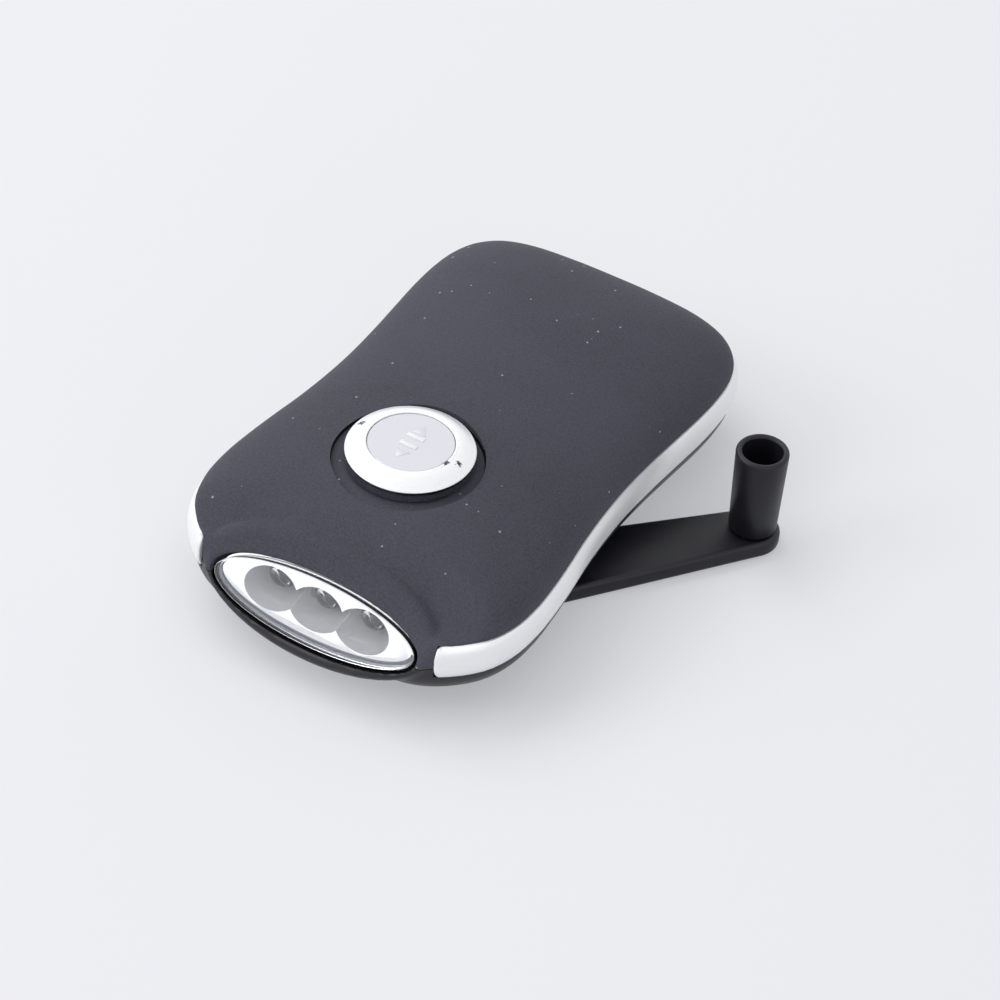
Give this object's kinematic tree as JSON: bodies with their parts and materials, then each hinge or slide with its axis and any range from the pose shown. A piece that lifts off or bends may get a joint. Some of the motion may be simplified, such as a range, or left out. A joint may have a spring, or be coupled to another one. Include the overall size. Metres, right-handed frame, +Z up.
{
  "type": "hand crank flashlight",
  "caption": "Palm-size flashlight with an oval lens, a sliding round switch and a folding crank that drives a generator inside.",
  "frame": {"origin": "on the crank's axis, in the plane of the crank arm's flat side that the object rests on", "axes": "+Y towards the rear end, so the lens faces -Y; +Z up, out of the top cover; +X to the right seen from behind the lens end looking along +Y"},
  "size_m": [0.0781, 0.0998, 0.0282],
  "materials": {
    "soft_touch_black": "ABS with a soft rubber-like coat",
    "silver_plating": "satin silver plating on ABS",
    "satin_silver": "fine matt silver",
    "matte_black": "moulded black ABS",
    "clear_plastic": "clear acrylic",
    "reflector_plating": "vacuum plated mirror finish",
    "steel": "zinc plated",
    "white_nylon": "moulded nylon",
    "brass": "turned",
    "copper_winding": "enamelled copper wire, wound",
    "ferrite": "sintered magnet",
    "board_green": "glass fibre board, green mask",
    "cell_steel": "nickel plated can",
    "green_wrap": "shrink sleeve",
    "red_insulation": "PVC insulation",
    "black_insulation": "PVC insulation"
  },
  "bodies": {
    "housing": {"top_cover": "soft_touch_black", "side_band": "silver_plating", "bottom_cover": "matte_black", "gearbox_plate": "matte_black", "lens": "clear_plastic", "led_1": "clear_plastic", "led_2": "clear_plastic", "led_3": "clear_plastic", "reflector": "reflector_plating", "idler_shaft_1": "steel", "idler_shaft_2": "steel", "stator_frame": "steel", "generator_bracket": "steel", "switch_case": "steel", "case_screw_1": "steel", "case_screw_2": "steel", "case_screw_3": "steel", "case_screw_4": "steel", "plate_screw_1": "steel", "plate_screw_2": "steel", "plate_screw_3": "steel", "plate_screw_4": "steel", "board_screw_1": "steel", "board_screw_2": "steel", "stator_coil": "copper_winding", "led_board": "board_green", "main_board": "board_green", "battery_cell_1": "cell_steel", "battery_cell_2": "cell_steel", "battery_cell_3": "cell_steel", "battery_wrap": "green_wrap", "battery_wire_red": "red_insulation", "led_wire_red": "red_insulation", "generator_wire": "red_insulation", "battery_wire_black": "black_insulation", "led_wire_black": "black_insulation"},
    "switch": {"switch_button": "silver_plating", "switch_disc": "satin_silver", "switch_retainer": "matte_black", "switch_lever": "white_nylon"},
    "crank_hub": {"crank_hub": "matte_black", "hub_spacer": "white_nylon", "drive_gear": "white_nylon", "fold_pin": "steel"},
    "crank_arm": {"crank_arm": "matte_black", "knob_screw": "steel"},
    "knob": {"crank_knob": "matte_black"},
    "idler_1": {"idler_gear_1": "white_nylon"},
    "idler_2": {"idler_gear_2": "white_nylon"},
    "rotor": {"rotor_shaft": "steel", "rotor_pinion": "brass", "rotor_magnet": "ferrite"}
  },
  "joints": [
    {"name": "switch_slide", "type": "slide", "parent": "housing", "child": "switch", "axis": [0, 1, 0], "range_m": [-0.002, 0]},
    {"name": "crank_spin", "type": "hinge", "parent": "housing", "child": "crank_hub", "pos_m": [0, 0, 0.004], "axis": [0, 0, 1], "range_deg": [-287, 7]},
    {"name": "arm_fold", "type": "hinge", "parent": "crank_hub", "child": "crank_arm", "pos_m": [-0.00386, -0.0046, 0.00155], "axis": [-0.766, 0.6428, 0], "range_deg": [0, 180]},
    {"name": "knob_spin", "type": "hinge", "parent": "crank_arm", "child": "knob", "pos_m": [0.04268, 0.05087, 0.0035], "axis": [0, 0, 1], "continuous": true},
    {"name": "idler_1_spin", "type": "hinge", "parent": "housing", "child": "idler_1", "pos_m": [0.00634, 0.01359, 0.008], "axis": [0, 0, 1], "continuous": true},
    {"name": "idler_2_spin", "type": "hinge", "parent": "housing", "child": "idler_2", "pos_m": [0.00241, 0.0244, 0.008], "axis": [0, 0, 1], "continuous": true},
    {"name": "rotor_spin", "type": "hinge", "parent": "housing", "child": "rotor", "pos_m": [0.00095, 0.03267, 0.008], "axis": [0, 0, 1], "continuous": true}
  ],
  "couplings": [
    {"joint": "idler_1_spin", "follows": "crank_spin", "ratio": -4},
    {"joint": "idler_2_spin", "follows": "crank_spin", "ratio": 14.4},
    {"joint": "rotor_spin", "follows": "crank_spin", "ratio": -46.08}
  ]
}
